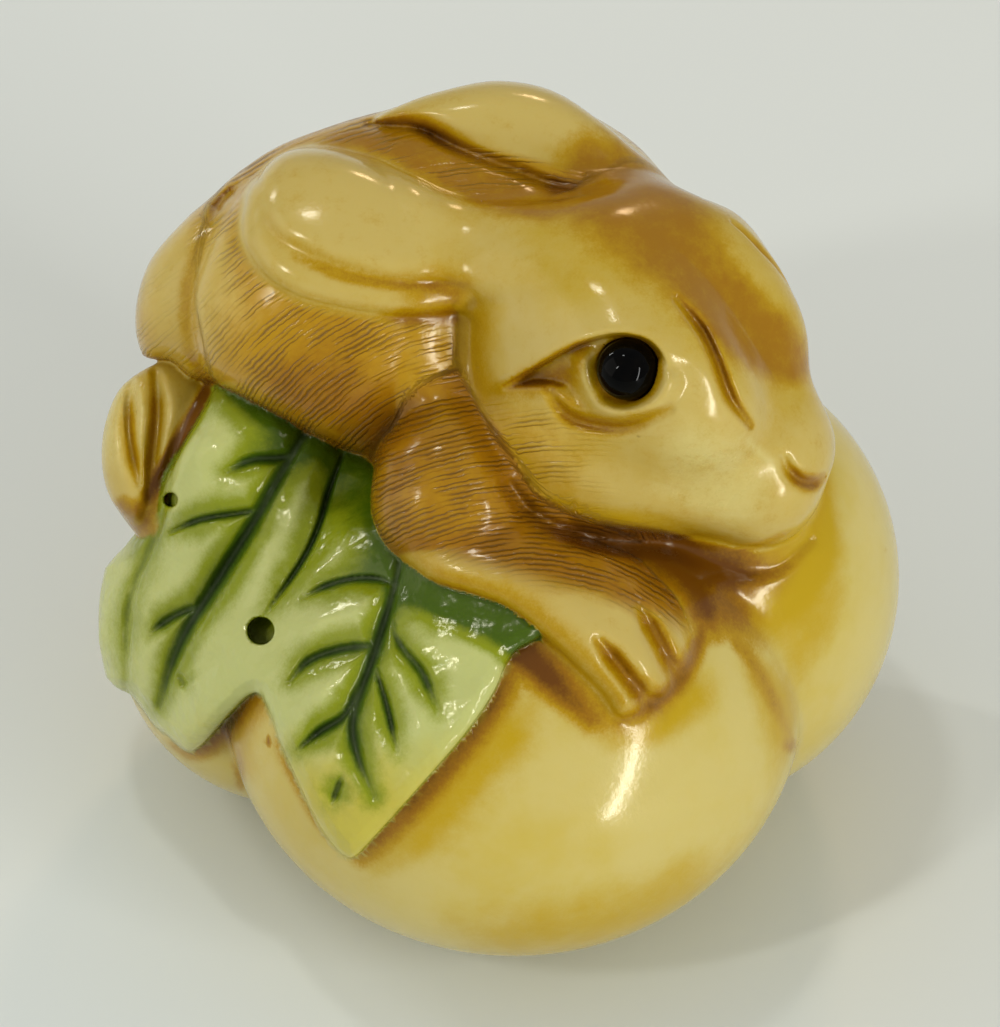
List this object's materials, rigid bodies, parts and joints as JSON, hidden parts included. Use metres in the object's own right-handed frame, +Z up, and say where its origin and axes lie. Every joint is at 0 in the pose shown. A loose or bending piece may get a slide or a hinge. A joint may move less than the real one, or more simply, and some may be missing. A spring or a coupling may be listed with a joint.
{
  "type": "netsuke",
  "caption": "Carved toggle: a hare crouched on a cluster of round fruits with veined leaves, glossy cream and brown stain, inlaid dark eyes.",
  "frame": {"origin": "on the flat base, under the middle of the carving", "axes": "+Z up from the base, +X towards the end where the hare's nose points, -Y towards the side that the hare's near eye looks to"},
  "size_m": [0.0424, 0.0384, 0.0383],
  "materials": {
    "carving": "glossy stained ivory-like material",
    "eye": "polished black"
  },
  "bodies": {
    "root": {"carving": "carving", "eye_right": "eye", "eye_left": "eye"}
  },
  "joints": []
}
